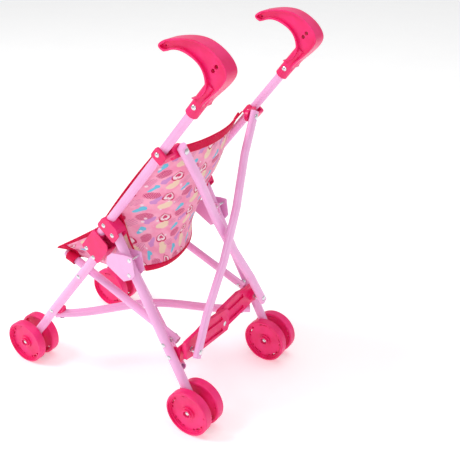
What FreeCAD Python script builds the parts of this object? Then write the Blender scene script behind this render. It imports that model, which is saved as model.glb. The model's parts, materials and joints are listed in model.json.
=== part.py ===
import FreeCAD, Part
import os
from math import asin, cos, radians, sin

# A folding umbrella-style doll stroller. Millimetres, +Z up, the front towards -Y, and the stroller's
# left towards +X. The origin is on the floor, midway between the sides and between the front and rear.
# Every piece of the left side is made first, and its right-hand twin is its mirror image.

V = FreeCAD.Vector
os.makedirs("parts", exist_ok=True)

# ---------------------------------------------------------------- driving dimensions
SIDE_X = 106.0              # plane of the push tubes and legs, each side of the middle
CENTRING_Y = -1.3           # moves every piece, to centre the whole between its front and rear
TUBE_LEAN = 39.5            # push tube and front leg, degrees from upright
LEG_LEAN = 26.9             # rear leg, degrees from upright
KNEE = (-24.7, 244.1)       # (y, z) of the rivet that holds the push tube in the knee bracket
RUNNING = 0.08              # radial clearance of a pin in its hole
FACE_GAP = 0.4              # between faces that slide past each other
WALL = 1.1                  # wall of every tube

PUSH_TUBE_D = 12.0
LEG_D = 14.0
RAIL_D = 12.0
CROSS_TUBE_D = 13.0
PIN_D = 3.6                 # rivets
PIN_HEAD_D = 6.8
PIN_HEAD_H = 1.5

WHEEL_D = 70.0
WHEEL_W = 14.0
WHEEL_GAP = 15.4            # between the two discs of a pair
AXLE_D = 5.0

# distances along the push tube from the knee rivet (up is positive) and behind it
LEG_HINGE_UP, LEG_HINGE_BACK = 56.7, 18.0
COLLAR_UP = 213.0
HANDLE_RIVET_UP = 300.7
SLEEVE_UP = 287.0
FRONT_LEG_BACK = 16.3       # front leg's axis, behind the push tube's
KNEE_PIVOT_DOWN = 1.9
RAIL_PIVOT_DOWN = 57.5
FRONT_CLIP_DOWN = 161.0
FRONT_LEG_BENDS_DOWN = (178.0, 204.0)
FRONT_WHEEL_X = 102.0
REAR_WHEEL_X = SIDE_X

# distances down the rear leg from its hinge
RAIL_PIVOT_ON_LEG = 169.0
REAR_CLIP_ON_LEG = 188.5

RAIL_X = 88.4               # seat rail, inside the legs
BAR_TOP = (83.3, 127.3, 406.7)      # upper pivot of a cross bar
BAR_FOOT = (86.3, 142.0, 114.7)     # lower pivot, on the other side
BAR_W, BAR_T = 14.5, 9.0
CROSS_FRONT = (88.0, -119.0, 91.0)  # front pivot of a cross tube
CROSS_REAR = (84.0, 106.0, 84.0)    # rear pivot, on the other side
CROSS_ARCH = 14.5           # rise of the arched cross tube over the straight one

# strut between the rear clips: two flat links, one behind the other
STRUT_FRONT_Y = (119.6, 124.8)
STRUT_REAR_Y = (125.2, 130.4)
STRUT_CENTRE_Z = 109.4

# ---------------------------------------------------------------- helpers
UP = (sin(radians(TUBE_LEAN)), cos(radians(TUBE_LEAN)))     # (y, z) up the push tube
BACK = (UP[1], -UP[0])                                      # square to it, to the rear
DOWN_LEG = (sin(radians(LEG_LEAN)), -cos(radians(LEG_LEAN)))
X_AXIS, Y_AXIS, Z_AXIS = V(1, 0, 0), V(0, 1, 0), V(0, 0, 1)


def on_tube(up, back=0.0):
    """(y, z) of a point beside the push tube."""
    return (KNEE[0] + up * UP[0] + back * BACK[0], KNEE[1] + up * UP[1] + back * BACK[1])


def at(x, yz):
    return V(x, yz[0], yz[1])


LEG_HINGE = on_tube(LEG_HINGE_UP, LEG_HINGE_BACK)
KNEE_PIVOT = on_tube(-KNEE_PIVOT_DOWN, FRONT_LEG_BACK)
RAIL_FRONT_PIVOT = on_tube(-RAIL_PIVOT_DOWN, FRONT_LEG_BACK)
FRONT_CLIP_PIVOT = on_tube(-FRONT_CLIP_DOWN, FRONT_LEG_BACK)
COLLAR_PIVOT = on_tube(COLLAR_UP)


def down_leg(d, back=0.0):
    """(y, z) of a point beside the rear leg."""
    return (LEG_HINGE[0] + d * DOWN_LEG[0] - back * DOWN_LEG[1],
            LEG_HINGE[1] + d * DOWN_LEG[1] + back * DOWN_LEG[0])


RAIL_REAR_PIVOT = down_leg(RAIL_PIVOT_ON_LEG)
REAR_CLIP_PIVOT = down_leg(REAR_CLIP_ON_LEG)
WHEEL_R = WHEEL_D / 2
FRONT_AXLE_DOWN = (KNEE[1] + FRONT_LEG_BACK * BACK[1] - WHEEL_R) / UP[1]
FRONT_AXLE = on_tube(-FRONT_AXLE_DOWN, FRONT_LEG_BACK)
REAR_AXLE_DOWN = (LEG_HINGE[1] - WHEEL_R) / -DOWN_LEG[1]
REAR_AXLE = down_leg(REAR_AXLE_DOWN)


def rod(p, q, d):
    return Part.makeCylinder(d / 2, (q - p).Length, p, q - p)


def pipe(p, q, d, wall=WALL):
    return rod(p, q, d).cut(rod(p, q, d - 2 * wall))


def bent_rod(points, d):
    """Straight runs between the points, with a ball at each bend."""
    runs = [rod(p, q, d) for p, q in zip(points, points[1:])]
    return join(runs + [Part.makeSphere(d / 2, p) for p in points[1:-1]])


def box(low, high):
    return Part.makeBox(high[0] - low[0], high[1] - low[1], high[2] - low[2], V(*low))


def join(shapes):
    whole = shapes[0].fuse(shapes[1:]) if len(shapes) > 1 else shapes[0]
    return whole.removeSplitter()


def rivet(p, q, d=PIN_D, head_d=PIN_HEAD_D, head_h=PIN_HEAD_H, low_head=True):
    """A pin from p to q with a domed head beyond q, and another beyond p unless told otherwise."""
    length = (q - p).Length
    r, head_r = d / 2, head_d / 2
    ball_r = (head_h ** 2 + head_r ** 2) / (2 * head_h)
    half_angle = asin(head_r / ball_r) / 2
    dome_r = ball_r * sin(half_angle)
    dome_h = head_h - ball_r * (1 - cos(half_angle))
    edges = [Part.makeLine(V(r, 0, 0), V(r, 0, length)),
             Part.makeLine(V(r, 0, length), V(head_r, 0, length)),
             Part.Arc(V(head_r, 0, length), V(dome_r, 0, length + dome_h), V(0, 0, length + head_h)).toShape()]
    if low_head:
        edges += [Part.makeLine(V(0, 0, length + head_h), V(0, 0, -head_h)),
                  Part.Arc(V(0, 0, -head_h), V(dome_r, 0, -dome_h), V(head_r, 0, 0)).toShape(),
                  Part.makeLine(V(head_r, 0, 0), V(r, 0, 0))]
    else:
        edges += [Part.makeLine(V(0, 0, length + head_h), V(0, 0, 0)), Part.makeLine(V(0, 0, 0), V(r, 0, 0))]
    solid = Part.Face(Part.Wire(edges)).revolve(V(0, 0, 0), Z_AXIS, 360)
    solid.Placement = FreeCAD.Placement(p, FreeCAD.Rotation(Z_AXIS, q - p))
    return solid


def x_rivet(yz, x0, x1, d=PIN_D, head_d=PIN_HEAD_D, head_h=PIN_HEAD_H):
    return rivet(at(x0, yz), at(x1, yz), d, head_d, head_h)


def x_hole(yz, x0, x1, d):
    return rod(at(x0, yz), at(x1, yz), d)


def plate(points, x0, x1, radius=0.0):
    """A flat plate in a side plane, from its (y, z) corners, with all its corners rounded."""
    wire = Part.makePolygon([at(x0, p) for p in points + points[:1]])
    solid = Part.Face(wire).extrude(V(x1 - x0, 0, 0))
    if radius:
        edges = [e for e in solid.Edges if abs(e.tangentAt(e.FirstParameter).x) > 0.99]
        solid = solid.makeFillet(radius, edges)
    return solid


def mirrored(shape):
    return shape.mirror(V(0, 0, 0), X_AXIS)


def export(name, shape):
    centred = shape.copy()
    centred.translate(V(0, CENTRING_Y, 0))
    centred.exportStep("parts/%s.step" % name)


def both_sides(name, shape):
    export("left_" + name, shape)
    export("right_" + name, mirrored(shape))


# ---------------------------------------------------------------- push tube, handle and its brackets
BRACKET_HALF = 9.0          # outside of the brackets' cheeks, from the tube's plane
CHEEK = 1.6
KNEE_LOW, KNEE_HIGH = -3.4, 36.5
KNEE_FRONT, KNEE_REAR = -8.2, 27.0


def push_tube():
    low, high = at(SIDE_X, on_tube(-6.6)), at(SIDE_X, on_tube(SLEEVE_UP + 44))
    tube = pipe(low, high, PUSH_TUBE_D)
    # the lower end is cut aslant, so that the folding front leg swings past it
    slant = plate([on_tube(-6.6, -6.6), on_tube(-2.9, 0.0), on_tube(1.0, 6.4), on_tube(-9.0, 6.4),
                   on_tube(-9.0, -6.6)], SIDE_X - 8, SIDE_X + 8)
    tube = tube.cut(slant)
    for up in (0.0, LEG_HINGE_UP, COLLAR_UP, HANDLE_RIVET_UP):
        tube = tube.cut(x_hole(on_tube(up), SIDE_X - 8, SIDE_X + 8, PIN_D))
    return tube


def knee_bracket():
    corners = [on_tube(KNEE_LOW, KNEE_FRONT), on_tube(KNEE_HIGH, KNEE_FRONT),
               on_tube(KNEE_HIGH, KNEE_REAR - 6), on_tube(KNEE_HIGH - 7, KNEE_REAR),
               on_tube(KNEE_LOW, KNEE_REAR)]
    block = plate(corners, SIDE_X - BRACKET_HALF, SIDE_X + BRACKET_HALF, 3.0)
    inside = BRACKET_HALF - CHEEK
    hollow = plate([on_tube(KNEE_LOW - 5, KNEE_FRONT + CHEEK), on_tube(KNEE_HIGH + 5, KNEE_FRONT + CHEEK),
                    on_tube(KNEE_HIGH + 5, KNEE_REAR - CHEEK), on_tube(KNEE_LOW - 5, KNEE_REAR - CHEEK)],
                   SIDE_X - inside, SIDE_X + inside)
    # the front wall stops short of the mouth that the leg swings out of
    mouth = plate([on_tube(KNEE_LOW - 5, KNEE_FRONT - 1), on_tube(2.0, KNEE_FRONT - 1),
                   on_tube(2.0, KNEE_FRONT + CHEEK + 1), on_tube(KNEE_LOW - 5, KNEE_FRONT + CHEEK + 1)],
                  SIDE_X - inside, SIDE_X + inside)
    # a raised collar guides the push tube between the cheeks
    guide = rod(at(SIDE_X, on_tube(14)), at(SIDE_X, on_tube(KNEE_HIGH - 1.5)), 2 * inside + 1.0)
    guide = guide.common(block)
    bracket = join([block.cut(hollow).cut(mouth), guide])
    bracket = bracket.cut(rod(at(SIDE_X, on_tube(-20)), at(SIDE_X, on_tube(60)), PUSH_TUBE_D))
    for pivot in (KNEE, KNEE_PIVOT):
        bracket = bracket.cut(x_hole(pivot, SIDE_X - 12, SIDE_X + 12, PIN_D))
    return bracket


def hinge_bracket():
    """Holds the top of the rear leg behind the push tube."""
    mid, half = LEG_HINGE_UP, 8.4
    corners = [on_tube(mid - half, -8.2), on_tube(mid + half, -8.2), on_tube(mid + half + 5, 2.0),
               on_tube(mid + half + 5, 18.0), on_tube(mid + half, 26.6), on_tube(mid - half, 26.6)]
    block = plate(corners, SIDE_X - BRACKET_HALF, SIDE_X + BRACKET_HALF, 3.6)
    inside = BRACKET_HALF - CHEEK
    hollow = plate([on_tube(mid - 20, 6.8), on_tube(mid + 10.2, 6.8), on_tube(mid + 10.2, 40),
                    on_tube(mid - 20, 40)], SIDE_X - inside, SIDE_X + inside)
    bracket = block.cut(hollow)
    bracket = bracket.cut(rod(at(SIDE_X, on_tube(20)), at(SIDE_X, on_tube(100)), PUSH_TUBE_D))
    for pivot in (on_tube(mid), LEG_HINGE):
        bracket = bracket.cut(x_hole(pivot, SIDE_X - 12, SIDE_X + 12, PIN_D))
    return bracket


HANDLE_HALF = 11.0
SLEEVE_D = 17.4
HANDLE_RIM = 2.4
HANDLE_POCKET = 4.5


def handle_outline(inset):
    """The crook's side view, as a smooth outside curve and a smooth inside curve, inset all round."""
    outside = [on_tube(309, 8.7 - inset), (208.5 - inset, 508.5), (213.6 - inset, 520.0),
               (208.2 - inset, 532.4 - inset * 0.6), (196.5 - inset * 0.4, 543.0 - inset),
               (178.3, 551.8 - inset), (155.0, 553.6 - inset), (131.0, 549.6 - inset)]
    tip = [(127.7 + inset, 548.0 - inset), (121.2 + inset, 541.7), (128.6 + inset, 535.8 + inset)]
    inside = [(135.0, 537.4 + inset), (150.8, 539.4 + inset), (164.3 + inset * 0.5, 534.9 + inset),
              (177.5 + inset, 525.4), (183.3 + inset, 514.0), (184.1 + inset, 506.2),
              on_tube(309, inset - 8.7)]
    x = SIDE_X - HANDLE_HALF
    curves = []
    for points in (outside, tip, inside):
        spline = Part.BSplineCurve()
        spline.interpolate([at(x, p) for p in points])
        curves.append(spline.toShape())
    ends = [(outside[-1], tip[0]), (tip[-1], inside[0]), (inside[-1], outside[0])]
    lines = [Part.makeLine(at(x, a), at(x, b)) for a, b in ends]
    return Part.Wire([curves[0], lines[0], curves[1], lines[1], curves[2], lines[2]])


def handle():
    grip = Part.Face(handle_outline(0.0)).extrude(V(2 * HANDLE_HALF, 0, 0))
    pocket = Part.Face(handle_outline(HANDLE_RIM)).extrude(V(HANDLE_POCKET, 0, 0))
    outer_pocket = pocket.copy()
    outer_pocket.translate(V(2 * HANDLE_HALF - HANDLE_POCKET, 0, 0))
    axis_low, axis_high = at(SIDE_X, on_tube(SLEEVE_UP)), at(SIDE_X, on_tube(SLEEVE_UP + 50))
    sleeve = rod(axis_low, axis_high, SLEEVE_D).common(box((90, 0, 400), (122, 202, 600)))
    whole = join([grip.cut(pocket).cut(outer_pocket), sleeve])
    whole = whole.cut(rod(axis_low, at(SIDE_X, on_tube(SLEEVE_UP + 44.4)), PUSH_TUBE_D))
    whole = whole.cut(x_hole(on_tube(HANDLE_RIVET_UP), 90, 122, PIN_D))
    # thumb slot above the sleeve, and the hole in the tip
    slot = rod(at(85, (192.5, 521.0)), at(127, (192.5, 521.0)), 5.0)
    slot = slot.fuse(rod(at(85, (197.0, 526.0)), at(127, (197.0, 526.0)), 5.0))
    return whole.cut(slot).cut(x_hole((129.4, 542.0), 85, 127, 2.6))


def push_rivets():
    """The rivets of the push tube: two in the brackets and one in the handle."""
    half = BRACKET_HALF
    return [x_rivet(KNEE, SIDE_X - half, SIDE_X + half),
            x_rivet(on_tube(LEG_HINGE_UP), SIDE_X - half, SIDE_X + half),
            x_rivet(on_tube(HANDLE_RIVET_UP), SIDE_X - SLEEVE_D / 2, SIDE_X + SLEEVE_D / 2)]


def leg_pins():
    """The two pins that the front leg and the rear leg swing on."""
    return [x_rivet(pivot, SIDE_X - BRACKET_HALF, SIDE_X + BRACKET_HALF) for pivot in (KNEE_PIVOT, LEG_HINGE)]


def collar_pin():
    return x_rivet(COLLAR_PIVOT, SIDE_X - 10.2, SIDE_X + 10.2)


# ---------------------------------------------------------------- legs, axles and wheels
def front_leg():
    top = at(SIDE_X, on_tube(-KNEE_PIVOT_DOWN + 4.5, FRONT_LEG_BACK))
    upper_bend = at(SIDE_X, on_tube(-FRONT_LEG_BENDS_DOWN[0], FRONT_LEG_BACK))
    lower_bend = at(FRONT_WHEEL_X, on_tube(-FRONT_LEG_BENDS_DOWN[1], FRONT_LEG_BACK))
    foot = at(FRONT_WHEEL_X, on_tube(-FRONT_AXLE_DOWN - 6.0, FRONT_LEG_BACK))
    leg = bent_rod([top, upper_bend, lower_bend, foot], LEG_D)
    leg = leg.cut(bent_rod([top, upper_bend, lower_bend, foot], LEG_D - 2 * WALL))
    leg = leg.cut(x_hole(KNEE_PIVOT, 90, 120, PIN_D + 2 * RUNNING))
    leg = leg.cut(x_hole(RAIL_FRONT_PIVOT, 90, 120, PIN_D))
    leg = leg.cut(x_hole(FRONT_CLIP_PIVOT, 90, 120, PIN_D))
    return leg.cut(x_hole(FRONT_AXLE, 85, 120, AXLE_D))


def rear_leg():
    top, foot = at(SIDE_X, down_leg(-5.5)), at(REAR_WHEEL_X, down_leg(REAR_AXLE_DOWN + 6))
    leg = pipe(top, foot, LEG_D)
    leg = leg.cut(x_hole(LEG_HINGE, 90, 120, PIN_D + 2 * RUNNING))
    for hole in (STOP_RIVET, RAIL_REAR_PIVOT, REAR_CLIP_PIVOT):
        leg = leg.cut(x_hole(hole, 90, 122, PIN_D))
    return leg.cut(x_hole(REAR_AXLE, 85, 125, AXLE_D))


STOP_RIVET = down_leg(59.4)
STOP_PIN = (54.2, 246.6)    # just behind the leg
STOP_INSIDE = 9.4           # of the plates, from the leg's plane
STOP_T = 1.4


def stop_plates():
    """A pair of plates that steady the knee: riveted to the rear leg, they straddle the knee bracket."""
    corners = [(12.5, 230.0), (14.5, 243.0), (24.0, 250.5), (47.0, 253.0), (59.0, 252.6),
               (62.0, 226.0), (57.0, 219.0), (42.0, 211.5), (14.5, 228.0)]
    plates = []
    for x0 in (SIDE_X - STOP_INSIDE - STOP_T, SIDE_X + STOP_INSIDE):
        sheet = plate(corners, x0, x0 + STOP_T)
        for hole in (STOP_RIVET, STOP_PIN):
            sheet = sheet.cut(x_hole(hole, 90, 120, PIN_D))
        plates.append(sheet)
    return plates


def stop_rivets():
    x0, x1 = SIDE_X - STOP_INSIDE - STOP_T, SIDE_X + STOP_INSIDE + STOP_T
    return [x_rivet(p, x0, x1, head_h=0.7) for p in (STOP_RIVET, STOP_PIN)]


def axle(centre_x, yz):
    """A rod with a pressed cap at each end, sunk in the wheel's hub."""
    half = WHEEL_GAP / 2 + WHEEL_W - 3.4
    return rivet(at(centre_x - half, yz), at(centre_x + half, yz), AXLE_D, 8.4, 2.0)


SLOT_GROUPS = 5


def wheel_disc(face_x, outward, yz):
    """A moulded disc: rim flange, sunk face with slots, and a hub with a sunk axle hole."""
    start, out = at(face_x, yz), X_AXIS * outward
    disc = Part.makeCylinder(WHEEL_R, WHEEL_W, start, out)
    rims = [e for e in disc.Edges if e.Closed and e.Curve.TypeId == "Part::GeomCircle"]
    disc = disc.makeFillet(2.0, rims)
    recess = Part.makeCylinder(WHEEL_R - 3.2, 3.0, start + out * (WHEEL_W - 3.0), out)
    step = Part.makeCylinder(WHEEL_R - 5.4, 2.4, start + out * (WHEEL_W - 5.4), out)
    hub = Part.makeCylinder(10.0, 5.4, start + out * (WHEEL_W - 5.4), out)
    inner_recess = Part.makeCylinder(WHEEL_R - 4.0, 4.6, start, out)
    inner_hub = Part.makeCylinder(8.0, 4.6, start, out)
    disc = disc.cut(recess).cut(step.cut(hub)).cut(inner_recess.cut(inner_hub))
    disc = disc.fuse(Part.makeCylinder(7.2, 3.0, start + out * (WHEEL_W - 3.4), out))
    disc = disc.cut(Part.makeCylinder(5.2, 6.0, start + out * (WHEEL_W - 3.4), out))
    slot_r = 0.78 * WHEEL_R
    for group in range(SLOT_GROUPS):
        for offset, length in ((-17.0, 3.4), (0.0, 7.4), (17.0, 3.4)):
            slot = box((-20, -length / 2, slot_r - 1.3), (20, length / 2, slot_r + 1.3))
            slot.rotate(V(0, 0, 0), X_AXIS, group * 360.0 / SLOT_GROUPS + offset)
            slot.translate(start)
            disc = disc.cut(slot)
    return disc.cut(x_hole(yz, face_x - 20, face_x + 20, AXLE_D + 2 * RUNNING)).removeSplitter()


# ---------------------------------------------------------------- seat rail
RAIL_TAIL = 8.0             # beyond the rear pivot


def seat_rail():
    """A straight tube inside the legs, open at the rear."""
    a, b = at(RAIL_X, RAIL_FRONT_PIVOT), at(RAIL_X, RAIL_REAR_PIVOT)
    along = (b - a).normalize()
    front, rear = a - along * 46.5, b + along * RAIL_TAIL
    rail = pipe(front, rear, RAIL_D)
    rail = rail.fuse(rod(front, front + along * 2.0, RAIL_D))
    rail = rail.cut(x_hole(RAIL_FRONT_PIVOT, 75, 100, PIN_D + 2 * RUNNING))
    return rail.cut(x_hole(RAIL_REAR_PIVOT, 75, 100, PIN_D))


def rail_front_pin():
    """Through the front leg and the rail, with a washer between them."""
    low = RAIL_X - RAIL_D / 2
    washer = rod(at(RAIL_X + RAIL_D / 2 + 0.3, RAIL_FRONT_PIVOT), at(SIDE_X - LEG_D / 2, RAIL_FRONT_PIVOT), 8.0)
    pin = x_rivet(RAIL_FRONT_PIVOT, low - 0.1, SIDE_X + LEG_D / 2, head_h=1.2)
    return join([pin, washer.cut(x_hole(RAIL_FRONT_PIVOT, 80, 120, PIN_D - 0.4))])


def rail_rear_pin():
    """On the rail, up to the running gap at the leg."""
    washer = rod(at(RAIL_X + RAIL_D / 2, RAIL_REAR_PIVOT), at(SIDE_X - LEG_D / 2 - 0.5, RAIL_REAR_PIVOT), 8.0)
    pin = x_rivet(RAIL_REAR_PIVOT, RAIL_X - RAIL_D / 2, RAIL_X + RAIL_D / 2 + 0.4, head_h=1.2)
    return join([pin, washer])


def leg_rivets():
    """Through the rear leg: the rail's and the clip's. The clip turns on the end of its own."""
    rail_head = x_rivet(RAIL_REAR_PIVOT, SIDE_X - LEG_D / 2, SIDE_X + LEG_D / 2)
    flat = box((0, RAIL_REAR_PIVOT[0] - 9, RAIL_REAR_PIVOT[1] - 9),
               (SIDE_X - LEG_D / 2, RAIL_REAR_PIVOT[0] + 9, RAIL_REAR_PIVOT[1] + 9))
    clip_pin = x_rivet(REAR_CLIP_PIVOT, SIDE_X - LEG_D / 2 - 4.6, SIDE_X + LEG_D / 2, head_h=1.2)
    return [rail_head.cut(flat), clip_pin]


def front_clip_pin():
    return x_rivet(FRONT_CLIP_PIVOT, SIDE_X - LEG_D / 2 - 4.8, SIDE_X + LEG_D / 2, head_h=1.2)


# ---------------------------------------------------------------- clips and cross tubes
SIDE_PLATE = (SIDE_X - LEG_D / 2 - 4.2, SIDE_X - LEG_D / 2 - FACE_GAP)


def front_clip():
    """Turns on the front leg and holds the cross tube's front end under its round tab."""
    x0, x1 = SIDE_PLATE
    tab_z = CROSS_FRONT[2] + CROSS_TUBE_D / 2 + FACE_GAP
    centre = V(CROSS_FRONT[0], CROSS_FRONT[1], tab_z)
    side = join([rod(at(x0, FRONT_CLIP_PIVOT), at(x1, FRONT_CLIP_PIVOT), 17.0),
                 plate([(CROSS_FRONT[1] - 7.2, tab_z), (CROSS_FRONT[1] + 7.2, tab_z),
                        (FRONT_CLIP_PIVOT[0] + 7.4, FRONT_CLIP_PIVOT[1] + 4),
                        (FRONT_CLIP_PIVOT[0] - 7.4, FRONT_CLIP_PIVOT[1] + 4)], x0, x1)])
    side = side.cut(box((x0 - 1, CROSS_FRONT[1] - 20, tab_z - 20), (x1 + 1, CROSS_FRONT[1] + 20, tab_z)))
    tab = join([rod(centre, centre + Z_AXIS * 4.4, 14.4),
                box((centre.x, centre.y - 7.2, tab_z), (x1, centre.y + 7.2, tab_z + 4.4))])
    clip = join([side, tab])
    clip = clip.cut(rod(centre - Z_AXIS, centre + Z_AXIS * 6, 4.0))
    return clip.cut(x_hole(FRONT_CLIP_PIVOT, x0 - 1, x1 + 1, PIN_D + 2 * RUNNING))


def cross_front_pin():
    """Stands through the tab and the tube below it."""
    top = CROSS_FRONT[2] + CROSS_TUBE_D / 2 + FACE_GAP + 4.4
    low = CROSS_FRONT[2] - CROSS_TUBE_D / 2 - FACE_GAP
    return rivet(V(CROSS_FRONT[0], CROSS_FRONT[1], low), V(CROSS_FRONT[0], CROSS_FRONT[1], top), 4.0, 7.6, 1.3)


LEVEL_END = 18.0            # of the arched tube, beyond each pivot


def cross_tube(arch):
    """From the left front to the right rear, straight or arched, open at both ends."""
    front = V(*CROSS_FRONT)
    rear = V(-CROSS_REAR[0], CROSS_REAR[1], CROSS_REAR[2])
    along = (rear - front).normalize()
    a, b = front - along * 9.5, rear + along * 14.0
    if arch:
        middle = (a + b) * 0.5 + V(0, 0, arch)
        spline = Part.BSplineCurve()
        spline.interpolate([a, front, front + along * LEVEL_END, middle, rear - along * LEVEL_END, rear, b])
        path = Part.Wire([spline.toShape()])
        start = path.Edges[0].tangentAt(path.Edges[0].FirstParameter)
        skin, core = [path.makePipe(Part.Face(Part.Wire([Part.Circle(a, start, r).toShape()])))
                      for r in (CROSS_TUBE_D / 2, CROSS_TUBE_D / 2 - WALL)]
        tube = skin.cut(core)
    else:
        tube = pipe(a, b, CROSS_TUBE_D)
    hole = rod(V(front.x, front.y, 70), V(front.x, front.y, 120), 4.0 + 2 * RUNNING)
    tube = tube.cut(hole)
    return tube.cut(rod(V(rear.x, rear.y, 70), V(rear.x, rear.y, 120), 4.0))


def cross_rear_rivet():
    low, top = CROSS_REAR[2] - CROSS_TUBE_D / 2, CROSS_REAR[2] + CROSS_TUBE_D / 2
    return rivet(V(-CROSS_REAR[0], CROSS_REAR[1], low - 0.2), V(-CROSS_REAR[0], CROSS_REAR[1], top + 0.2),
                 4.0, 7.0, 0.9)


PIVOT_Y0, PIVOT_Y1 = 115.9, STRUT_FRONT_Y[0] - FACE_GAP     # rear plate of the rear clip


def rear_clip():
    """Turns on the rear leg. Its rear plate holds the strut, and its finger the cross tube's end."""
    x0, x1 = SIDE_PLATE
    y, z = REAR_CLIP_PIVOT
    side = join([rod(at(x0 + 0.6, REAR_CLIP_PIVOT), at(x1, REAR_CLIP_PIVOT), 17.0),
                 box((x0 + 0.6, y - 5, 95.0), (x1, PIVOT_Y1, 113.0))])
    rear = box((77.0, PIVOT_Y0, 95.0), (x1, PIVOT_Y1, 119.6))
    floor = box((78.0, 100.5, 95.0), (x1, PIVOT_Y1, 98.0))
    finger = join([rod(V(CROSS_REAR[0], CROSS_REAR[1], 94.6), V(CROSS_REAR[0], CROSS_REAR[1], 96.0), 5.0),
                   Part.makeSphere(2.5, V(CROSS_REAR[0], CROSS_REAR[1], 94.6))])
    clip = join([side, rear, floor, finger])
    clip = clip.cut(rod(V(BAR_FOOT[0], 110, BAR_FOOT[2]), V(BAR_FOOT[0], 125, BAR_FOOT[2]), 5.0 + 2 * RUNNING))
    return clip.cut(x_hole(REAR_CLIP_PIVOT, 90, x1 + 1, PIN_D + 2 * RUNNING))


def strut_pin():
    return rivet(V(BAR_FOOT[0], PIVOT_Y0, BAR_FOOT[2]), V(BAR_FOOT[0], STRUT_REAR_Y[1] + 0.2, BAR_FOOT[2]),
                 5.0, 8.0, 1.0)


# ---------------------------------------------------------------- strut
def strut_link(layer, reach, tab_len):
    """A ribbed flat link from the left clip to a little past the middle, in its own layer."""
    y0, y1 = layer
    x_end = -reach
    slope = (BAR_FOOT[2] - STRUT_CENTRE_Z) / BAR_FOOT[0]

    def z_at(x, dz):
        return STRUT_CENTRE_Z + x * slope + dz

    outline = [V(98, y0, z_at(98, -12)), V(98, y0, z_at(98, 16)), V(70, y0, z_at(70, 20)),
               V(46, y0, z_at(46, 26)), V(x_end + 6, y0, z_at(x_end, 24)), V(x_end, y0, z_at(x_end, 18)),
               V(x_end, y0, z_at(x_end, -8)), V(x_end + 4, y0, z_at(x_end, -14)),
               V(70, y0, z_at(70, -15))]
    if tab_len:
        outline[7:8] = [V(x_end - tab_len + 2, y0, z_at(x_end, -8)), V(x_end - tab_len, y0, z_at(x_end, -16)),
                        V(x_end + 4, y0, z_at(x_end, -16))]
    web = Part.Face(Part.makePolygon(outline + outline[:1])).extrude(V(0, y1 - y0, 0))
    ribs = []
    for low, high in ((-9.5, -2.5), (9.0, 16.5)):
        near, far = 62.0, x_end + 16.0
        groove = [V(near, y1, z_at(near, low)), V(near - 3, y1, z_at(near - 3, high)),
                  V(far + 3, y1, z_at(far, high)), V(far, y1, z_at(far, low))]
        ribs.append(Part.Face(Part.makePolygon(groove + groove[:1])).extrude(V(0, -2.4, 0)))
    for rib in ribs:
        web = web.cut(rib)
    return web


def strut_half(behind):
    """The link behind has a boss that fills the front layer at its pivot, and the one in front the reverse."""
    layer = STRUT_REAR_Y if behind else STRUT_FRONT_Y
    link = strut_link(layer, 11.0, 0.0 if behind else 14.0)
    pivot = V(BAR_FOOT[0], 0, BAR_FOOT[2])
    if behind:
        boss = rod(pivot + Y_AXIS * STRUT_FRONT_Y[0], pivot + Y_AXIS * STRUT_REAR_Y[0], 17.0)
    else:
        boss = rod(pivot + Y_AXIS * STRUT_FRONT_Y[1], pivot + Y_AXIS * STRUT_REAR_Y[1], 17.0)
    link = join([link, boss])
    link = link.cut(rod(pivot + Y_AXIS * 100, pivot + Y_AXIS * 140, 5.0))
    centre = V(0, 0, STRUT_CENTRE_Z)
    if behind:
        link = link.cut(rod(centre + Y_AXIS * 100, centre + Y_AXIS * 140, 5.0))
    return link


def strut_centre_rivet():
    """Through the rear link only: its front end stops short of the link before it."""
    return rivet(V(0, STRUT_REAR_Y[0] + 0.3, STRUT_CENTRE_Z), V(0, STRUT_REAR_Y[1], STRUT_CENTRE_Z),
                 5.0, 8.0, 0.9, low_head=False)


# ---------------------------------------------------------------- cross bars and collars
BAR_BOW_SPAN = 115.0        # each side of the crossing
BAR_FLAT_SPAN = 38.0
BOW_FORWARD, BOW_REARWARD = -6.4, 6.8


def bar_axes():
    """Top and foot of the left cross bar, its direction, and the directions across it and out of its face."""
    top, foot = V(*BAR_TOP), V(-BAR_FOOT[0], BAR_FOOT[1], BAR_FOOT[2])
    along = (foot - top).normalize()
    across = along.cross(Y_AXIS).normalize()
    return top, foot, along, across, along.cross(across).normalize() * -1


def cross_bar(bow):
    """A flattened tube from the left collar to the right rear clip, bowed at the crossing."""
    top, foot, along, across, normal = bar_axes()
    length = (foot - top).Length
    middle = length / 2
    stations = [(-8.0, 0.0), (middle - BAR_BOW_SPAN, 0.0), (middle - BAR_FLAT_SPAN, bow),
                (middle + BAR_FLAT_SPAN, bow), (middle + BAR_BOW_SPAN, 0.0), (length + 9.0, 0.0)]
    points = [top + along * s + normal * off for s, off in stations]
    bar = join([bar_run(p, q, across, i > 0) for i, (p, q) in enumerate(zip(points, points[1:]))])
    bar = bar.cut(rod(top - normal * 20, top + normal * 20, 5.0 + 2 * RUNNING))
    return bar.cut(rod(foot - normal * 20, foot + normal * 20, 5.0))


def bar_run(p, q, across, knuckle):
    """One straight stretch of the flattened tube; a knuckle rounds the bend at its start."""
    thick = (q - p).cross(across).normalize()
    side = (BAR_W - BAR_T) / 2
    a, b = p + across * side, p - across * side
    half = BAR_T / 2
    edges = [Part.makeLine(a + thick * half, b + thick * half),
             Part.Arc(b + thick * half, b - across * half, b - thick * half).toShape(),
             Part.makeLine(b - thick * half, a - thick * half),
             Part.Arc(a - thick * half, a + across * half, a + thick * half).toShape()]
    solid = Part.Face(Part.Wire(edges)).extrude(q - p)
    if knuckle:
        solid = solid.fuse([rod(b, a, BAR_T), Part.makeSphere(half, a), Part.makeSphere(half, b)])
    return solid


EAR_GAP = 0.9               # between a collar's ear and the bar, which leans a little
BAR_PIN_FRONT = 132.4       # front end of the spacer at a bar's foot


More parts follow.
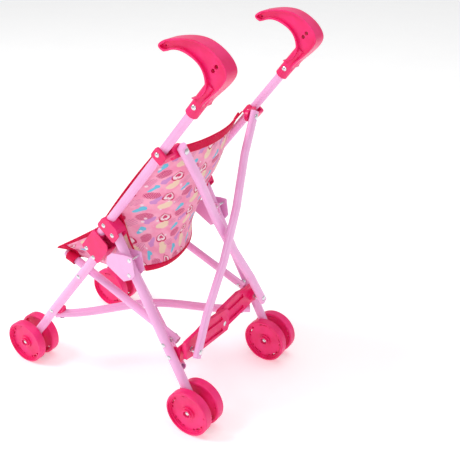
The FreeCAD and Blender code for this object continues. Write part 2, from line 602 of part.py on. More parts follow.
def bar_foot_pin():
    """On the bar: the foot's rivet, and its spacer towards the strut."""
    top, foot, along, across, normal = bar_axes()
    surface = BAR_T / 2
    front = foot - normal * (foot.y - BAR_PIN_FRONT)
    pin = rivet(front, foot + normal * surface, 5.0, 8.4, 1.5, low_head=False)
    spacer = rod(front, foot - normal * surface, 8.4)
    return join([pin, spacer])


def collar():
    """A saddle behind the push tube, with an ear that carries the top of a cross bar."""
    y, z = COLLAR_PIVOT
    cheek_in, cheek_out = SIDE_X - PUSH_TUBE_D / 2 - FACE_GAP, SIDE_X + PUSH_TUBE_D / 2 + FACE_GAP
    corners = [on_tube(COLLAR_UP + 8, -7), on_tube(COLLAR_UP + 8, 12.5), on_tube(COLLAR_UP - 8, 12.5),
               on_tube(COLLAR_UP - 8, -7)]
    block = plate(corners, cheek_in - 3.6, cheek_out + 3.6, 3.0)
    hollow = plate([on_tube(COLLAR_UP + 12, -12), on_tube(COLLAR_UP + 12, 9.6), on_tube(COLLAR_UP - 12, 9.6),
                    on_tube(COLLAR_UP - 12, -12)], cheek_in, cheek_out)
    saddle = block.cut(hollow)
    ear_y1 = BAR_TOP[1] - BAR_T / 2 - EAR_GAP
    ear = join([rod(V(BAR_TOP[0], ear_y1 - 5, BAR_TOP[2]), V(BAR_TOP[0], ear_y1, BAR_TOP[2]), 17.0),
                box((BAR_TOP[0], ear_y1 - 5, BAR_TOP[2] - 8.5), (cheek_in, ear_y1, BAR_TOP[2] + 8.5))])
    whole = join([saddle, ear])
    top, normal = bar_axes()[0], bar_axes()[4]
    whole = whole.cut(rod(top - normal * 25, top + normal * 15, 5.0))
    return whole.cut(x_hole(COLLAR_PIVOT, 90, 125, PIN_D + 2 * RUNNING))


def bar_top_pin():
    top, foot, along, across, normal = bar_axes()
    low = top - normal * (BAR_T / 2 + EAR_GAP + 5.3)
    return rivet(low, top + normal * (BAR_T / 2 + FACE_GAP), 5.0, 8.4, 1.5)


# ---------------------------------------------------------------- seat sling
CLOTH = 1.6
SLING_HALF = 94.2


BACK_STATIONS = [           # from the top hem down: (y, z) of the edges, of the middle, and half width
    ((108.0, 401.0), (122.0, 390.0), 93.0), ((82.0, 368.0), (105.0, 347.0), 96.5),
    ((55.0, 322.0), (82.0, 294.0), 96.5), ((52.0, 262.0), (64.0, 250.0), 93.0),
    ((51.0, 209.0), (52.5, 208.0), 89.0)]


def seat_back():
    """The back of the sling: a hanging panel between the push tubes that sags to the rear."""
    sections = [Part.Wire([Part.Arc(at(half, edge), at(0, middle), at(-half, edge)).toShape()])
                for edge, middle, half in BACK_STATIONS]
    return Part.makeLoft(sections, False, False).extrude(V(0, -CLOTH, 0))


def seat_base():
    """The floor of the sling and its two side walls."""
    wall = [(14.0, 297.0), (-96.0, 219.5), (-64.0, 204.0), (49.0, 204.0), (49.0, 240.0)]
    walls = [plate(wall, SLING_HALF - CLOTH, SLING_HALF), plate(wall, -SLING_HALF, CLOTH - SLING_HALF)]
    floor = box((-SLING_HALF, -64.0, 203.0), (SLING_HALF, 49.0, 203.0 + CLOTH))
    return join([floor] + walls)


# ---------------------------------------------------------------- the model
group = Part.makeCompound
both_sides("push_tube", push_tube())
both_sides("handle", handle())
both_sides("knee_bracket", knee_bracket())
both_sides("hinge_bracket", hinge_bracket())
both_sides("push_rivets", group(push_rivets() + leg_pins() + [collar_pin()]))
both_sides("front_leg", front_leg())
both_sides("front_leg_pins", group([rail_front_pin(), front_clip_pin()]))
both_sides("front_axle", axle(FRONT_WHEEL_X, FRONT_AXLE))
both_sides("rear_leg", rear_leg())
both_sides("stop_plates", group(stop_plates()))
both_sides("rear_leg_rivets", group(stop_rivets() + leg_rivets()))
both_sides("rear_axle", axle(REAR_WHEEL_X, REAR_AXLE))
for end_name, wheel_x, centre in (("front", FRONT_WHEEL_X, FRONT_AXLE), ("rear", REAR_WHEEL_X, REAR_AXLE)):
    both_sides(end_name + "_outer_wheel", wheel_disc(wheel_x + WHEEL_GAP / 2, 1, centre))
    both_sides(end_name + "_inner_wheel", wheel_disc(wheel_x - WHEEL_GAP / 2, -1, centre))
both_sides("seat_rail", seat_rail())
both_sides("rail_rear_pin", rail_rear_pin())
both_sides("front_clip", front_clip())
both_sides("front_clip_pin", cross_front_pin())
both_sides("rear_clip", rear_clip())
both_sides("collar", collar())
both_sides("collar_pin", bar_top_pin())

export("left_strut", strut_half(True))
export("left_strut_pins", group([strut_pin(), strut_centre_rivet()]))
export("right_strut", mirrored(strut_half(False)))
export("right_strut_pins", mirrored(strut_pin()))

# the left bar and the left cross tube run from the left side to the right
for side, bow, arch in (("left", BOW_FORWARD, CROSS_ARCH), ("right", BOW_REARWARD, 0.0)):
    place = mirrored if side == "right" else Part.Shape.copy
    export(side + "_cross_bar", place(cross_bar(bow)))
    export(side + "_cross_bar_pin", place(bar_foot_pin()))
    export(side + "_cross_tube", place(cross_tube(arch)))
    export(side + "_cross_tube_rivet", place(cross_rear_rivet()))

export("seat_back", seat_back())
export("seat_base", seat_base())
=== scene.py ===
import json
import math

import bpy
from mathutils import Matrix, Vector, noise


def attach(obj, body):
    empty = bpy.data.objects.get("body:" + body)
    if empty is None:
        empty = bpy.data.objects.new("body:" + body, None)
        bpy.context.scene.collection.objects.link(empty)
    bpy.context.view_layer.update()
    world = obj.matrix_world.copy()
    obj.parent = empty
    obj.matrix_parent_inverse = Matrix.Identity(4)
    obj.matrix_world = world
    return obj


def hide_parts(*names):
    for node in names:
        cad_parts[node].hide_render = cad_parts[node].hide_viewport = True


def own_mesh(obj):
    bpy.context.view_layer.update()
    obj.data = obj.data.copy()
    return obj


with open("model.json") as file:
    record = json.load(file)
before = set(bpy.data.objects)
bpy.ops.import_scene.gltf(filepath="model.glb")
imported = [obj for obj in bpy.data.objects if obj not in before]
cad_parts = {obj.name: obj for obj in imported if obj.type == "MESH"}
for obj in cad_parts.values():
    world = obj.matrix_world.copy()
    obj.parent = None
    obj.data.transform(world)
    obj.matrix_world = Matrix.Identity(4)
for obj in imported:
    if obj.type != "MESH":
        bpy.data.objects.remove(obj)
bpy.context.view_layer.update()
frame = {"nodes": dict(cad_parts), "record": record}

# The printed fabric sling, its bindings and loops are built here; everything else is the CAD frame with
# procedural materials. Lengths below are millimetres: x to the stroller's left, y to its rear, z up.
# Flat cloth sizes, UVs, the floor, the lights and the numbers inside materials are metres.
MM = 0.001
CENTRING_Y = -1.3           # the same shift as in the CAD


def linear(r, g, b):
    """A screen colour, 0 to 255, as a linear one for the shaders."""
    def one(c):
        c /= 255.0
        return c / 12.92 if c <= 0.04045 else ((c + 0.055) / 1.055) ** 2.4
    return (one(r), one(g), one(b), 1.0)


# ---------------------------------------------------------------- shader graphs
class Graph:
    """Short ways to add and join a material's nodes."""

    def __init__(self, name):
        self.material = bpy.data.materials.new(name)
        self.material.use_nodes = True
        self.tree = self.material.node_tree
        self.shader = self.tree.nodes["Principled BSDF"]

    def node(self, kind, **settings):
        n = self.tree.nodes.new(kind)
        for key, value in settings.items():
            setattr(n, key, value)
        return n

    def join(self, source, socket):
        if isinstance(source, (int, float, tuple)):
            socket.default_value = source
        else:
            self.tree.links.new(source, socket)

    def math(self, operation, *values):
        n = self.node("ShaderNodeMath", operation=operation)
        for i, value in enumerate(values):
            self.join(value, n.inputs[i])
        return n.outputs[0]

    def step(self, value, low, high):
        """0 below low, 1 above high, smooth between. low may be the larger one."""
        n = self.node("ShaderNodeMapRange", interpolation_type="SMOOTHSTEP")
        self.join(value, n.inputs["Value"])
        if low < high:
            ends = (low, high, 0.0, 1.0)
        else:
            ends = (high, low, 1.0, 0.0)
        for key, end in zip(("From Min", "From Max", "To Min", "To Max"), ends):
            n.inputs[key].default_value = end
        return n.outputs[0]

    def mix(self, factor, a, b):
        n = self.node("ShaderNodeMix", data_type="RGBA")
        self.join(factor, n.inputs[0])
        self.join(a, n.inputs[6])
        self.join(b, n.inputs[7])
        return n.outputs[2]

    def coordinates(self, kind="Object"):
        return self.node("ShaderNodeTexCoord").outputs[kind]

    def noise(self, vector, scale, detail=2.0, rough=0.5):
        n = self.node("ShaderNodeTexNoise")
        self.join(vector, n.inputs["Vector"])
        n.inputs["Scale"].default_value = scale
        n.inputs["Detail"].default_value = detail
        n.inputs["Roughness"].default_value = rough
        return n.outputs["Fac"]

    def bump(self, height, strength, distance, normal=None):
        n = self.node("ShaderNodeBump")
        n.inputs["Strength"].default_value = strength
        n.inputs["Distance"].default_value = distance
        self.join(height, n.inputs["Height"])
        if normal is not None:
            self.join(normal, n.inputs["Normal"])
        return n.outputs["Normal"]

    def soft_edges(self, radius):
        n = self.node("ShaderNodeBevel", samples=4)
        n.inputs["Radius"].default_value = radius
        return n.outputs["Normal"]

    def set(self, **values):
        names = {"base": "Base Color", "rough": "Roughness", "metal": "Metallic", "normal": "Normal",
                 "coat": "Coat Weight", "coat_rough": "Coat Roughness", "sheen": "Sheen Weight",
                 "sheen_rough": "Sheen Roughness", "specular": "Specular IOR Level",
                 "soft": "Subsurface Weight", "soft_scale": "Subsurface Scale"}
        for key, value in values.items():
            self.join(value, self.shader.inputs[names[key]])
        return self.material


def painted_tube():
    """Gloss pale-pink enamel on steel tube, with the faint ripple of a sprayed coat."""
    g = Graph("pale_pink_enamel")
    place = g.coordinates()
    cloud = g.step(g.noise(place, 38.0, 3.0), 0.3, 0.7)
    colour = g.mix(cloud, linear(244, 172, 222), linear(247, 180, 228))
    rough = g.math("MULTIPLY_ADD", g.noise(place, 210.0, 4.0), 0.05, 0.24)
    ripple = g.bump(g.noise(place, 620.0, 2.0), 0.03, 0.0004, g.soft_edges(0.0005))
    return g.set(base=colour, rough=rough, normal=ripple, coat=0.35, coat_rough=0.12)


def moulded(name, deep, bright, rough_low, grain):
    """Injection-moulded plastic: even colour, fine grain and slightly rounded edges."""
    g = Graph(name)
    place = g.coordinates()
    cloud = g.step(g.noise(place, 45.0, 3.0), 0.3, 0.7)
    flow = g.noise(place, 260.0, 5.0)
    rough = g.math("MULTIPLY_ADD", flow, 0.18, rough_low)
    relief = g.bump(g.noise(place, 1500.0, 2.0), grain, 0.0003, g.soft_edges(0.0007))
    return g.set(base=g.mix(cloud, deep, bright), rough=rough, normal=relief, soft=0.08, soft_scale=0.004)


def bright_steel():
    g = Graph("bright_steel")
    place = g.coordinates()
    marks = g.noise(place, 900.0, 4.0, 0.7)
    colour = g.mix(marks, linear(205, 205, 210), linear(240, 240, 243))
    rough = g.math("MULTIPLY_ADD", marks, 0.22, 0.14)
    relief = g.bump(g.noise(place, 2500.0), 0.12, 0.0002, g.soft_edges(0.0004))
    return g.set(base=colour, rough=rough, metal=1.0, normal=relief)


def weave_height(g, uv, threads_per_metre):
    """Over-and-under relief of a plain weave."""
    parts = g.node("ShaderNodeSeparateXYZ")
    g.join(uv, parts.inputs[0])
    across = g.math("SINE", g.math("MULTIPLY", parts.outputs[0], threads_per_metre * math.pi))
    along = g.math("SINE", g.math("MULTIPLY", parts.outputs[1], threads_per_metre * math.pi))
    return g.math("MULTIPLY", across, along)


def webbing():
    """Crimson binding tape with a ribbed weave."""
    g = Graph("crimson_tape")
    uv = g.coordinates("UV")
    place = g.coordinates()
    cloud = g.step(g.noise(place, 160.0, 4.0), 0.25, 0.75)
    colour = g.mix(cloud, linear(206, 0, 62), linear(226, 2, 76))
    relief = g.bump(weave_height(g, uv, 1300.0), 0.35, 0.0004)
    rough = g.math("MULTIPLY_ADD", cloud, 0.15, 0.62)
    return g.set(base=colour, rough=rough, normal=relief, specular=0.2)


PRINT_SCALE = 1.3
REPEAT = (0.042, 0.034)     # of the print across and along, before PRINT_SCALE


def printed_cloth():
    """Woven polyester with a doodle print: outlined hearts, scribbled ovals, leaves, strokes and dots."""
    g = Graph("printed_cloth")
    uv = g.coordinates("UV")
    wobble = g.node("ShaderNodeTexNoise")
    g.join(uv, wobble.inputs["Vector"])
    wobble.inputs["Scale"].default_value = 95.0
    shake = g.node("ShaderNodeVectorMath", operation="MULTIPLY_ADD")
    g.join(wobble.outputs["Color"], shake.inputs[0])
    shake.inputs[1].default_value = (0.0042, 0.0042, 0.0)
    larger = g.node("ShaderNodeVectorMath", operation="SCALE")
    g.join(uv, larger.inputs[0])
    larger.inputs["Scale"].default_value = 1 / PRINT_SCALE
    g.join(larger.outputs[0], shake.inputs[2])
    doodled = shake.outputs[0]

    def motif(seed, centre, turn, spread, jitter=0.08):
        """Local x and y about a motif that repeats every REPEAT, moved and turned a little each time."""
        scaled = g.node("ShaderNodeVectorMath", operation="MULTIPLY_ADD")
        g.join(doodled, scaled.inputs[0])
        scaled.inputs[1].default_value = (1 / REPEAT[0], 1 / REPEAT[1], 0.0)
        scaled.inputs[2].default_value = (-centre[0] + 0.5 + seed * 7.0, -centre[1] + 0.5 + seed * 3.0, 0.0)
        cell = g.node("ShaderNodeVectorMath", operation="FLOOR")
        g.join(scaled.outputs[0], cell.inputs[0])
        inside = g.node("ShaderNodeVectorMath", operation="FRACTION")
        g.join(scaled.outputs[0], inside.inputs[0])
        dice = g.node("ShaderNodeTexWhiteNoise", noise_dimensions="3D")
        g.join(cell.outputs[0], dice.inputs["Vector"])
        roll = g.node("ShaderNodeSeparateXYZ")
        g.join(dice.outputs["Color"], roll.inputs[0])
        local = g.node("ShaderNodeSeparateXYZ")
        g.join(inside.outputs[0], local.inputs[0])
        x, y = [g.math("MULTIPLY", size, g.math("MULTIPLY_ADD", roll.outputs[k], -jitter,
                                                g.math("SUBTRACT", local.outputs[k], 0.5 - jitter / 2)))
                for k, size in enumerate(REPEAT)]
        angle = g.math("MULTIPLY_ADD", roll.outputs[2], spread, turn - spread / 2)
        c, s = g.math("COSINE", angle), g.math("SINE", angle)
        turned_x = g.math("ADD", g.math("MULTIPLY", x, c), g.math("MULTIPLY", y, s))
        turned_y = g.math("SUBTRACT", g.math("MULTIPLY", y, c), g.math("MULTIPLY", x, s))
        return turned_x, turned_y

    def oval(x, y, half_x, half_y, blur=0.12):
        """1 inside an ellipse."""
        a = g.math("POWER", g.math("ABSOLUTE", g.math("DIVIDE", x, half_x)), 2.0)
        b = g.math("POWER", g.math("ABSOLUTE", g.math("DIVIDE", y, half_y)), 2.0)
        return g.step(g.math("ADD", a, b), 1.0 + blur, 1.0 - blur)

    def heart(x, y, size):
        """1 inside a heart whose lobes reach size from its middle."""
        u, v = g.math("DIVIDE", x, size), g.math("DIVIDE", y, size)
        uu, vv = g.math("MULTIPLY", u, u), g.math("MULTIPLY", v, v)
        round_part = g.math("SUBTRACT", g.math("ADD", uu, vv), 1.0)
        cube = g.math("MULTIPLY", g.math("MULTIPLY", round_part, round_part), round_part)
        lobes = g.math("MULTIPLY", uu, g.math("MULTIPLY", vv, v))
        return g.step(g.math("SUBTRACT", cube, lobes), 0.06, -0.06)

    def stripes(x, pitch, fill):
        """Soft parallel strokes, wider for a larger fill."""
        wave = g.math("SINE", g.math("MULTIPLY", x, 2 * math.pi / pitch))
        return g.step(wave, fill + 0.3, fill - 0.3)

    base = g.mix(g.step(g.noise(uv, 60.0, 3.0), 0.35, 0.65), linear(247, 150, 186), linear(253, 176, 204))

    # cream cloud
    x, y = motif(1, (0.16, 0.74), 0.5, 0.9, 0.10)
    cloud_mask = g.math("MAXIMUM", oval(x, y, 0.0082, 0.0046),
                        oval(g.math("ADD", x, 0.004), g.math("ADD", y, 0.0032), 0.0048, 0.0042))
    base = g.mix(g.math("MULTIPLY", cloud_mask, 0.85), base, linear(244, 226, 190))
    # lilac leaf
    x, y = motif(2, (0.46, 0.44), 0.95, 0.7)
    leaf = g.math("MAXIMUM", oval(x, y, 0.0080, 0.0030),
                  oval(g.math("SUBTRACT", x, 0.0038), y, 0.0030, 0.0042))
    base = g.mix(g.math("MULTIPLY", leaf, 0.9), base, linear(205, 140, 206))
    # blue brush stroke
    x, y = motif(3, (0.70, 0.90), 0.9, 0.5)
    stroke = g.math("MAXIMUM", oval(x, y, 0.0072, 0.0022), oval(g.math("ADD", x, 0.0040), y, 0.0028, 0.0033))
    base = g.mix(stroke, base, linear(110, 202, 228))
    # faint ribbed oval
    x, y = motif(4, (0.84, 0.56), 0.6, 0.8)
    ghost = g.math("MULTIPLY", oval(x, y, 0.0072, 0.0046), stripes(y, 0.0019, 0.1))
    base = g.mix(g.math("MULTIPLY", ghost, 0.6), base, linear(208, 118, 160))
    # scribbled oval
    x, y = motif(5, (0.60, 0.20), 0.3, 1.0)
    scribble = g.math("MULTIPLY", oval(x, y, 0.0082, 0.0056, 0.25),
                      stripes(g.math("ADD", x, y), 0.0021, 0.25))
    base = g.mix(g.math("MULTIPLY", oval(x, y, 0.0078, 0.0052, 0.3), 0.35), base, linear(216, 84, 138))
    base = g.mix(g.math("MULTIPLY", scribble, 0.9), base, linear(196, 40, 104))
    # outlined heart in a heart
    x, y = motif(6, (0.14, 0.24), 0.2, 0.8, 0.10)
    base = g.mix(heart(x, y, 0.0066), base, linear(206, 26, 90))
    base = g.mix(heart(x, y, 0.0050), base, linear(250, 226, 234))
    base = g.mix(heart(x, g.math("ADD", y, 0.0004), 0.0029), base, linear(212, 50, 108))
    # white dots
    dots = g.node("ShaderNodeTexVoronoi", feature="F1")
    g.join(uv, dots.inputs["Vector"])
    dots.inputs["Scale"].default_value = 70.0
    spot = g.step(dots.outputs["Distance"], 0.19, 0.13)
    base = g.mix(g.math("MULTIPLY", spot, 0.8), base, linear(252, 232, 238))

    weave = weave_height(g, uv, 1500.0)
    crinkle = g.noise(uv, 170.0, 4.0)
    relief = g.bump(weave, 0.22, 0.0003, g.bump(crinkle, 0.30, 0.0012))
    rough = g.math("MULTIPLY_ADD", crinkle, 0.2, 0.62)
    return g.set(base=base, rough=rough, normal=relief, sheen=0.08, sheen_rough=0.45)


ENAMEL = painted_tube()
PLASTIC = moulded("hot_pink_gloss", linear(236, 16, 102), linear(248, 30, 120), 0.24, 0.08)
WHEEL = moulded("hot_pink_wheel", linear(238, 22, 106), linear(250, 40, 126), 0.34, 0.14)
STEEL = bright_steel()
TAPE = webbing()
CLOTH = printed_cloth()

BY_SLOT = {"tube": ENAMEL, "leg_tube": ENAMEL, "plate": ENAMEL, "plastic": PLASTIC, "handle": PLASTIC,
           "rivet": STEEL, "axle": STEEL, "wheel": WHEEL, "cloth": CLOTH}
for part in frame["record"]["subparts"]:
    mesh = frame["nodes"][part["node"]].data
    mesh.materials.clear()
    mesh.materials.append(BY_SLOT[part["material_slot"]])


# ---------------------------------------------------------------- the sling's surfaces
def smooth_at(stations, t):
    """A smooth curve through (t, value, value, ...) stations, by Catmull-Rom slopes."""
    t = min(max(t, stations[0][0] - 0.02), stations[-1][0] + 0.02)
    i = 0
    while i < len(stations) - 2 and t > stations[i + 1][0]:
        i += 1
    a, b = stations[i], stations[i + 1]
    before = stations[i - 1] if i else a
    after = stations[i + 2] if i + 2 < len(stations) else b
    span = b[0] - a[0]
    f = (t - a[0]) / span
    values = []
    for k in range(1, len(a)):
        slope_a = (b[k] - before[k]) / (b[0] - before[0]) * span
        slope_b = (after[k] - a[k]) / (after[0] - a[0]) * span
        values.append((2 * f ** 3 - 3 * f ** 2 + 1) * a[k] + (f ** 3 - 2 * f ** 2 + f) * slope_a
                      + (3 * f ** 2 - 2 * f ** 3) * b[k] + (f ** 3 - f ** 2) * slope_b)
    return values


# v, edge y, edge z, middle y, middle z, half width: from the top hem down to the crease, then a lap that
# continues below the seat, so that no gap opens there when the frame folds
BACK = [(0.0, 96.0, 404.0, 114.0, 399.0, 92.0), (0.28, 56.0, 351.5, 97.0, 339.0, 97.5),
        (0.52, 19.0, 303.0, 76.0, 290.0, 95.5), (0.74, 20.0, 254.0, 57.0, 244.0, 86.5),
        (0.92, 30.0, 209.0, 50.0, 203.0, 72.0), (1.0, 6.0, 200.2, 20.0, 198.0, 67.0)]
# At its foot the sling's left edge stands this far back, and its right edge this far forward.
SKEW = 14.0

# v, floor edge y, z and half width, shoulder z and half width, wall top y, z and half width: rear to front
BASE = [(0.0, 30.0, 205.5, 68.0, 210.0, 71.0, 31.0, 212.0, 73.0),
        (0.12, 24.0, 204.0, 72.0, 215.0, 78.0, 24.0, 256.0, 87.0),
        (0.25, 16.0, 203.0, 76.0, 217.0, 84.0, 18.5, 303.0, 94.0),
        (0.45, -2.0, 202.5, 79.0, 217.0, 86.0, -6.0, 278.0, 96.5),
        (0.75, -42.0, 202.8, 79.5, 216.0, 84.0, -51.0, 248.0, 98.0),
        (1.0, -76.0, 202.0, 79.0, 211.0, 84.0, -98.0, 219.0, 99.5)]


def wrinkle(x, y, z, size):
    """Soft creases of cloth, in millimetres."""
    p = Vector((x / 52.0, y / 60.0, z / 46.0))
    return size * (noise.noise(p) + 0.45 * noise.noise(p * 2.3 + Vector((3.1, 0.7, 5.2))))


HANG_POWER = 2.3            # higher is a squarer section of the hanging back
BACK_WRINKLE, FAN_FOLD = 3.2, 1.6           # heights of the creases
SIDE_WRINKLE, FLOOR_WRINKLE = 2.6, 1.6
FLOOR_SHARE, SHOULDER_SHARE = 0.5, 0.62     # of the way out from the seat's middle to the top of its wall
FLOOR_SAG = 3.4             # of the seat between its rear and front edges
CREASE_CURVE = 22.0         # how far back the middle of the seat's rear edge bows
CREASE_HALF = 84.0          # how far out from the middle SKEW is reached
FADE = 0.35                 # share of the seat's length over which the crease's shape fades out


def back_point(u, v):
    """u from -1 to 1 across the back, v down it."""
    edge_y, edge_z, mid_y, mid_z, half = smooth_at(BACK, v)
    hang = abs(u) ** HANG_POWER
    y, z = mid_y + (edge_y - mid_y) * hang, mid_z + (edge_z - mid_z) * hang
    x = half * u
    y += SKEW * u * smooth_at([(0.0, 0.0), (0.45, 0.0), (0.8, 0.8), (1.0, 1.0)], v)[0]
    free = (1 - min(abs(u), 1.0) ** 4) * min(max(min(v / 0.08, (0.90 - v) / 0.1), 0.0), 1.0)
    # tension folds that run up and out from the crease's corners
    spoke = math.atan2(0.97 - v, 1.05 - abs(u))
    fan = math.sin(9.0 * spoke) * math.exp(-3.0 * math.hypot(1.0 - abs(u), 0.95 - v))
    y += free * (wrinkle(x, y, z, BACK_WRINKLE) + FAN_FOLD * fan)
    return Vector((x, y + CENTRING_Y, z)) * MM


def base_point(s, v):
    """s from -1 to 1 across the floor and up the walls, v from the crease forward."""
    side = 1 if s >= 0 else -1
    w = abs(s)
    fy, fz, fx, kz, kx, wy, wz, wx = smooth_at(BASE, v)
    sag = -FLOOR_SAG * math.sin(math.pi * min(max(v, 0.0), 1.0)) ** 0.7
    rear = max(0.0, 1.0 - v / FADE)
    shoulder_y = fy + (wy - fy) * (kz - fz) / max(wz - fz, 12.0)
    if w < FLOOR_SHARE:
        f = w / FLOOR_SHARE
        # the rear edge follows the curved crease of the back
        x, y, z = fx * f, fy + CREASE_CURVE * rear * (1 - f ** 2), fz + sag * (1 - f ** 3)
    elif w < SHOULDER_SHARE:
        f = (w - FLOOR_SHARE) / (SHOULDER_SHARE - FLOOR_SHARE)
        x = fx + (kx - fx) * (1 - (1 - f) ** 2)
        z = fz + (kz - fz) * f ** 1.5
        y = fy + (shoulder_y - fy) * f
    else:
        f = (w - SHOULDER_SHARE) / (1 - SHOULDER_SHARE)
        x, y, z = kx + (wx - kx) * f, shoulder_y + (wy - shoulder_y) * f, kz + (wz - kz) * f
    y += SKEW * rear * x * side / CREASE_HALF
    free = min(max(min(v / 0.1, (1.0 - v) / 0.1), 0.0), 1.0)
    if w < FLOOR_SHARE:
        z += free * wrinkle(x, y, z + 90, FLOOR_WRINKLE)
    elif w > SHOULDER_SHARE:
        x -= free * abs(wrinkle(x, y, z, SIDE_WRINKLE)) * math.sin(math.pi * min(f, 1.0))
    return Vector((x * side, y + CENTRING_Y, z)) * MM


def patch(name, point, u_range, v_range, counts, thickness, material, flat):
    """The part of a surface inside two ranges as a piece of cloth, with UVs in metres of flat cloth."""
    nu, nv = counts
    us = [u_range[0] + (u_range[1] - u_range[0]) * i / nu for i in range(nu + 1)]
    vs = [v_range[0] + (v_range[1] - v_range[0]) * j / nv for j in range(nv + 1)]
    corners = [point(u, v) for v in vs for u in us]
    faces = [(j * (nu + 1) + i, j * (nu + 1) + i + 1, (j + 1) * (nu + 1) + i + 1, (j + 1) * (nu + 1) + i)
             for j in range(nv) for i in range(nu)]
    mesh = bpy.data.meshes.new(name)
    mesh.from_pydata(corners, [], faces)
    layer = mesh.uv_layers.new(name="flat")
    for loop in mesh.loops:
        j, i = divmod(loop.vertex_index, nu + 1)
        layer.data[loop.index].uv = ((us[i] + 1) / 2 * flat[0], vs[j] * flat[1])
    mesh.materials.append(material)
    return finish_piece(name, mesh, thickness)


def finish_piece(name, mesh, thickness):
    """Thickens and smooths a mesh in its own geometry and puts it in the scene."""
    obj = bpy.data.objects.new(name, mesh)
    bpy.context.scene.collection.objects.link(obj)
    thick = obj.modifiers.new("thickness", "SOLIDIFY")
    thick.thickness = thickness * MM
    thick.offset = 0.0
    fine = obj.modifiers.new("smooth", "SUBSURF")
    fine.levels = fine.render_levels = 1
    final = bpy.data.meshes.new_from_object(obj.evaluated_get(bpy.context.evaluated_depsgraph_get()))
    obj.modifiers.clear()
    obj.data = final
    for polygon in final.polygons:
        polygon.use_smooth = True
    return obj


TUBE_DIRECTION = Vector((0, 0.636, 0.772))
TUBE_FRONT = Vector((0, -0.772, 0.636))
TUBE_FOOT = Vector((0, -24.7, 244.1))       # on the push tube's middle line, where the knee's rivet is
EDGE_X, EDGE_WIDTH = 96.8, 5.0              # the bound edge's inner side, and how far out it reaches
EDGE_CLEAR = 6.5                            # from the tube's middle line
EDGE_LIP, EDGE_BELLY = 1.2, 3.4             # how far the edge stands forward at its ends, and more between
EDGE_FOOT, EDGE_TOP = 40.0, 203.0           # along the tube, up from TUBE_FOOT


def tube_edge(sign):
    """A bound side edge, along the front of one push tube from the collar down to the bracket."""
    def point(u, v):
        along = EDGE_TOP + (EDGE_FOOT - EDGE_TOP) * v
        belly = math.sin(math.pi * min(max(v, 0), 1)) ** 0.6
        proud = EDGE_CLEAR + (EDGE_LIP + EDGE_BELLY * belly) * u
        place = TUBE_FOOT + TUBE_DIRECTION * along + TUBE_FRONT * proud
        return Vector((sign * (EDGE_X + EDGE_WIDTH * u), place.y + CENTRING_Y, place.z)) * MM
    return point


BACK_FLAT = (0.222, 0.262)
BASE_FLAT = (0.300, 0.155)
EDGE_FLAT = (0.006, 0.175)
back = patch("sling_back", back_point, (-1, 1), (0, 1), (56, 60), 0.8, CLOTH, BACK_FLAT)
base = patch("sling_seat", base_point, (-1, 1), (0, 1), (80, 44), 0.8, CLOTH, BASE_FLAT)
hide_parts("seat_back")
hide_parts("seat_base")


def tape(name, point, u_range, v_range, counts, thickness, flat=BACK_FLAT):
    """A strip of crimson tape along part of a surface."""
    return patch(name, point, u_range, v_range, counts, thickness, TAPE, flat)


back_trim = [tape("top_hem", back_point, (-1.003, 1.003), (-0.012, 0.052), (56, 6), 3.0),
             tape("crease_piping", back_point, (-0.995, 0.995), (0.880, 0.930), (50, 4), 4.0)]
base_trim = [tape("front_hem", base_point, (-1.0, 1.0), (0.925, 1.012), (70, 4), 2.8, BASE_FLAT)]
for side, sign in (("left", 1), ("right", -1)):
    back_trim.append(tape(side + "_back_binding", tube_edge(sign), (0, 1), (0, 1), (3, 40), 2.0, EDGE_FLAT))
    rim = sorted((sign * 1.010, sign * 0.945))
    base_trim.append(tape(side + "_seat_binding", base_point, rim, (0.02, 1.0), (4, 50), 2.2, BASE_FLAT))


# ---------------------------------------------------------------- loops that hang the sling
def loop_band(name, centre, axis, radius, width, material):
    """A sewn loop of tape round a tube, a little slack and not quite round."""
    axis = axis.normalized()
    side = axis.cross(Vector((1, 0, 0))).normalized()
    up = side.cross(axis)
    rings, turns = 6, 40
    corners, faces = [], []
    for i in range(rings + 1):
        for j in range(turns):
            a = 2 * math.pi * j / turns
            r = radius + 0.5 * math.sin(3 * a + i * 0.5) + 0.7 * max(0.0, math.sin(a))
            offset = axis * (width * (i / rings - 0.5))
            corners.append((centre + offset + (side * math.cos(a) + up * math.sin(a)) * r) * MM)
    for i in range(rings):
        for j in range(turns):
            k = (j + 1) % turns
            faces.append((i * turns + j, i * turns + k, (i + 1) * turns + k, (i + 1) * turns + j))
    mesh = bpy.data.meshes.new(name)
    mesh.from_pydata(corners, [], faces)
    layer = mesh.uv_layers.new(name="flat")
    for loop in mesh.loops:
        i, j = divmod(loop.vertex_index, turns)
        layer.data[loop.index].uv = (j / turns * 2 * math.pi * radius * MM, i / rings * width * MM)
    mesh.materials.append(material)
    return finish_piece(name, mesh, 1.0)


RAIL_TIP = Vector((88.4, -91.5 + CENTRING_Y, 207.5))      # front end of the left seat rail
RAIL_DIRECTION = Vector((0, 0.921, -0.390))
LOOP_BACK, LOOP_RADIUS, LOOP_WIDTH = 13.0, 7.3, 17.0
loops = {}
for side, sign in (("left", 1), ("right", -1)):
    centre = RAIL_TIP + RAIL_DIRECTION * LOOP_BACK
    centre.x *= sign
    loops[side] = loop_band(side + "_rail_loop", centre, RAIL_DIRECTION, LOOP_RADIUS, LOOP_WIDTH, TAPE)
    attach(loops[side], side + "_seat_rail")

# ---------------------------------------------------------------- how the soft pieces follow the fold
# The left side holds each piece: the back and its trim ride on the left push tube, the seat and its trim on
# the left seat rail.
for piece in [back] + back_trim:
    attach(piece, "left_push")
    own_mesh(piece)
for piece in [base] + base_trim:
    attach(piece, "left_seat_rail")
    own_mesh(piece)


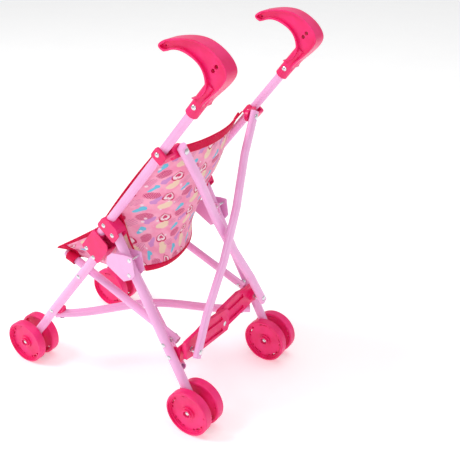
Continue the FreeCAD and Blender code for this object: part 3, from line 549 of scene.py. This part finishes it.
# ---------------------------------------------------------------- floor, light and camera
def floor():
    g = Graph("studio_floor")
    grain = g.noise(g.coordinates(), 9.0, 5.0)
    g.set(base=g.mix(grain, linear(246, 246, 247), linear(252, 252, 252)),
          rough=g.math("MULTIPLY_ADD", grain, 0.1, 0.7))
    g.shader.inputs["Emission Color"].default_value = (1.0, 1.0, 1.0, 1.0)
    g.shader.inputs["Emission Strength"].default_value = 0.30
    mesh = bpy.data.meshes.new("floor")
    mesh.from_pydata([(-12, -12, 0), (12, -12, 0), (12, 12, 0), (-12, 12, 0)], [], [(0, 1, 2, 3)])
    mesh.materials.append(g.material)
    obj = bpy.data.objects.new("floor", mesh)
    bpy.context.scene.collection.objects.link(obj)


def area_light(name, place, size, power, target=(0, 0, 0.25)):
    data = bpy.data.lights.new(name, "AREA")
    data.shape = "DISK"
    data.size = size
    data.energy = power
    obj = bpy.data.objects.new(name, data)
    obj.location = place
    obj.rotation_euler = (Vector(target) - Vector(place)).to_track_quat("-Z", "Y").to_euler()
    bpy.context.scene.collection.objects.link(obj)


LENS = 58.7
CAMERA_PLACE = (788.1, 651.5 + CENTRING_Y, 724.0)
CAMERA_BACK = (0.7546, 0.4893, 0.4373)      # from what it looks at towards the camera
CAMERA_ROLL = -0.43


def camera():
    data = bpy.data.cameras.new("camera")
    data.lens = LENS
    data.sensor_width = 36.0
    data.clip_start = 0.05
    obj = bpy.data.objects.new("camera", data)
    back_axis = Vector(CAMERA_BACK).normalized()
    right = Vector((0, 0, 1)).cross(back_axis).normalized()
    up = back_axis.cross(right)
    turn = Matrix((right, up, back_axis)).transposed().to_4x4()
    roll = Matrix.Rotation(math.radians(CAMERA_ROLL), 4, "Z")
    obj.matrix_world = Matrix.Translation(Vector(CAMERA_PLACE) * MM) @ turn @ roll
    bpy.context.scene.collection.objects.link(obj)
    bpy.context.scene.camera = obj


floor()
area_light("key", (1.2, -1.6, 2.4), 1.2, 38.0)
area_light("fill", (2.4, 1.6, 1.6), 1.4, 12.0)
area_light("top", (-0.6, 0.4, 3.0), 2.0, 18.0)
camera()

world = bpy.data.worlds.new("studio")
bpy.context.scene.world = world
world.use_nodes = True
sky = world.node_tree.nodes["Background"]
sky.inputs["Color"].default_value = (1.0, 1.0, 1.0, 1.0)
sky.inputs["Strength"].default_value = 0.52
bpy.context.scene.view_settings.view_transform = "Standard"
